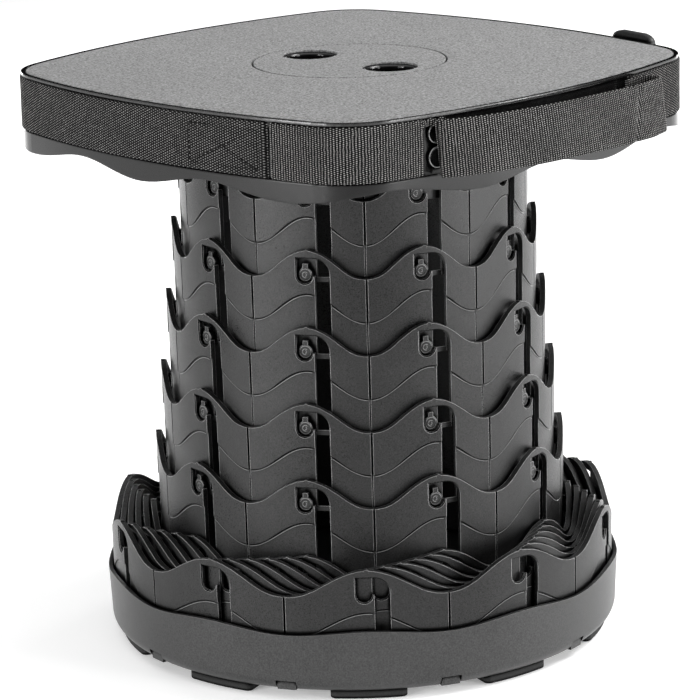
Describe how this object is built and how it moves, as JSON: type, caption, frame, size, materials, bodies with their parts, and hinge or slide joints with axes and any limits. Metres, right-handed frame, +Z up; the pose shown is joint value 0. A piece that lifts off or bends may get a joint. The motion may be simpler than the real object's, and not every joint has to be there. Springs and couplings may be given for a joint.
{
  "type": "telescopic camp stool",
  "caption": "Collapsible stool whose nested plastic ring sections draw up out of a round base cup and lock under a rounded square padded seat with a webbing carry strap.",
  "frame": {"origin": "on the floor under the centre of the round base", "axes": "+Z up along the telescoping axis; the seat corners point along X and Y; -Y is the front, with the carry strap at front right"},
  "size_m": [0.313, 0.313, 0.2803],
  "materials": {
    "cup_plastic": "moulded polypropylene, fine satin texture, dark grey",
    "ring_plastic": "moulded glass-filled plastic, charcoal, satin",
    "seat_plastic": "moulded plastic, polished black",
    "foot_rubber": "moulded rubber, matt black",
    "pad_foam": "speckled grey laminated foam",
    "webbing": "woven polyester webbing, black with fine light ribs",
    "trim_plastic": "moulded acetal, black, semi gloss"
  },
  "bodies": {
    "base": {"base_cup": "cup_plastic", "base_plate": "cup_plastic", "base_feet": "foot_rubber", "section_01": "ring_plastic"},
    "stage_02": {"section_02": "ring_plastic"},
    "stage_03": {"section_03": "ring_plastic"},
    "stage_04": {"section_04": "ring_plastic"},
    "stage_05": {"section_05": "ring_plastic"},
    "stage_06": {"section_06": "ring_plastic"},
    "stage_07": {"section_07": "ring_plastic"},
    "stage_08": {"section_08": "ring_plastic"},
    "stage_09": {"section_09": "ring_plastic"},
    "stage_10": {"section_10": "ring_plastic"},
    "stage_11": {"section_11": "ring_plastic"},
    "seat": {"seat_collar": "ring_plastic", "seat_shell": "seat_plastic", "seat_pad": "pad_foam", "grip_disc": "seat_plastic", "grip_disc_pad": "pad_foam", "strap_rear": "webbing", "strap_front": "webbing", "strap_right": "webbing", "carry_strap": "webbing", "strap_slider": "trim_plastic", "strap_posts": "trim_plastic"}
  },
  "joints": [
    {"name": "stage_02_slide", "type": "slide", "parent": "base", "child": "stage_02", "axis": [0, 0, 1], "range_m": [0, 0.0353]},
    {"name": "stage_03_slide", "type": "slide", "parent": "stage_02", "child": "stage_03", "axis": [0, 0, 1], "range_m": [0, 0.0353]},
    {"name": "stage_04_slide", "type": "slide", "parent": "stage_03", "child": "stage_04", "axis": [0, 0, 1], "range_m": [0, 0.0353]},
    {"name": "stage_05_slide", "type": "slide", "parent": "stage_04", "child": "stage_05", "axis": [0, 0, 1], "range_m": [0, 0.0353]},
    {"name": "stage_06_slide", "type": "slide", "parent": "stage_05", "child": "stage_06", "axis": [0, 0, 1], "range_m": [0, 0.0353]},
    {"name": "stage_07_slide", "type": "slide", "parent": "stage_06", "child": "stage_07", "axis": [0, 0, 1], "range_m": [-0.0353, 0]},
    {"name": "stage_08_slide", "type": "slide", "parent": "stage_07", "child": "stage_08", "axis": [0, 0, 1], "range_m": [-0.0353, 0]},
    {"name": "stage_09_slide", "type": "slide", "parent": "stage_08", "child": "stage_09", "axis": [0, 0, 1], "range_m": [-0.0353, 0]},
    {"name": "stage_10_slide", "type": "slide", "parent": "stage_09", "child": "stage_10", "axis": [0, 0, 1], "range_m": [-0.0353, 0]},
    {"name": "stage_11_slide", "type": "slide", "parent": "stage_10", "child": "stage_11", "axis": [0, 0, 1], "range_m": [-0.0353, 0]},
    {"name": "seat_slide", "type": "slide", "parent": "stage_11", "child": "seat", "axis": [0, 0, 1], "range_m": [-0.0317, 0]}
  ]
}
